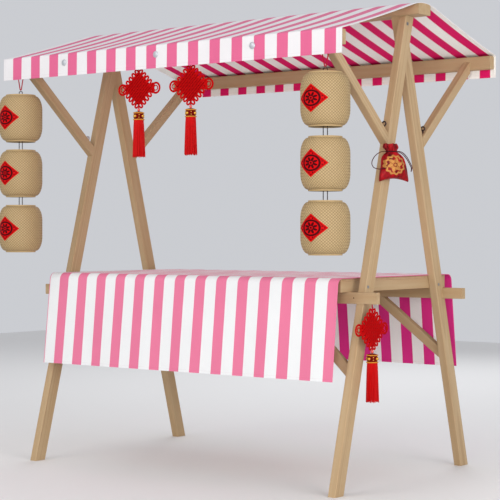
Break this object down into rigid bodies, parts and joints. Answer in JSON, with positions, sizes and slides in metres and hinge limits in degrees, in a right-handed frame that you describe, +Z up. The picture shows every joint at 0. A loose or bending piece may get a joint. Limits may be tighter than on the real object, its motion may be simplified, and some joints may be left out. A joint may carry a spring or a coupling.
{
  "type": "wooden market stall",
  "caption": "Free-standing market stall: two timber trestle frames carry a ridged striped canvas roof and a cloth-covered counter, hung with lanterns and knots.",
  "frame": {"origin": "on the ground, at the middle of the stall's overall length and depth", "axes": "+X along the counter towards the side with the pouch, +Y from the customer's side to the back, +Z up"},
  "size_m": [1.972, 1.3715, 2.1],
  "materials": {
    "pine": "pale planed pine, unvarnished, with eased edges",
    "striped_canvas": "plain-weave canvas in even pink and white stripes",
    "woven_bamboo": "split bamboo in a close diagonal weave",
    "knot_cord": "red braided cord, tightly woven",
    "tassel_thread": "glossy red thread, with a gold cord band",
    "hanging_cord": "thin red twisted cord",
    "red_satin": "dark red satin with a gold ornament",
    "dark_steel": "dark bronze lacquer"
  },
  "bodies": {
    "root": {"back_eave_rail": "pine", "back_table_rail": "pine", "canopy": "striped_canvas", "counter_board": "pine", "front_eave_rail": "pine", "front_table_rail": "pine", "left_back_arm": "pine", "left_back_eye": "dark_steel", "left_back_knee": "pine", "left_back_leg": "pine", "left_bearer": "pine", "left_bottom_lantern": "woven_bamboo", "left_eave_knot": "knot_cord", "left_eave_tassel": "tassel_thread", "left_front_arm": "pine", "left_front_eye": "dark_steel", "left_front_knee": "pine", "left_front_leg": "pine", "left_lantern_cords": "hanging_cord", "left_middle_lantern": "woven_bamboo", "left_top_lantern": "woven_bamboo", "pouch": "red_satin", "rail_knot": "knot_cord", "rail_tassel": "tassel_thread", "ridge_board": "pine", "right_back_arm": "pine", "right_back_eye": "dark_steel", "right_back_knee": "pine", "right_back_leg": "pine", "right_bearer": "pine", "right_bottom_lantern": "woven_bamboo", "right_eave_knot": "knot_cord", "right_eave_tassel": "tassel_thread", "right_front_arm": "pine", "right_front_eye": "dark_steel", "right_front_knee": "pine", "right_front_leg": "pine", "right_lantern_cords": "hanging_cord", "right_middle_lantern": "woven_bamboo", "right_top_lantern": "woven_bamboo", "tablecloth": "striped_canvas"}
  },
  "joints": []
}
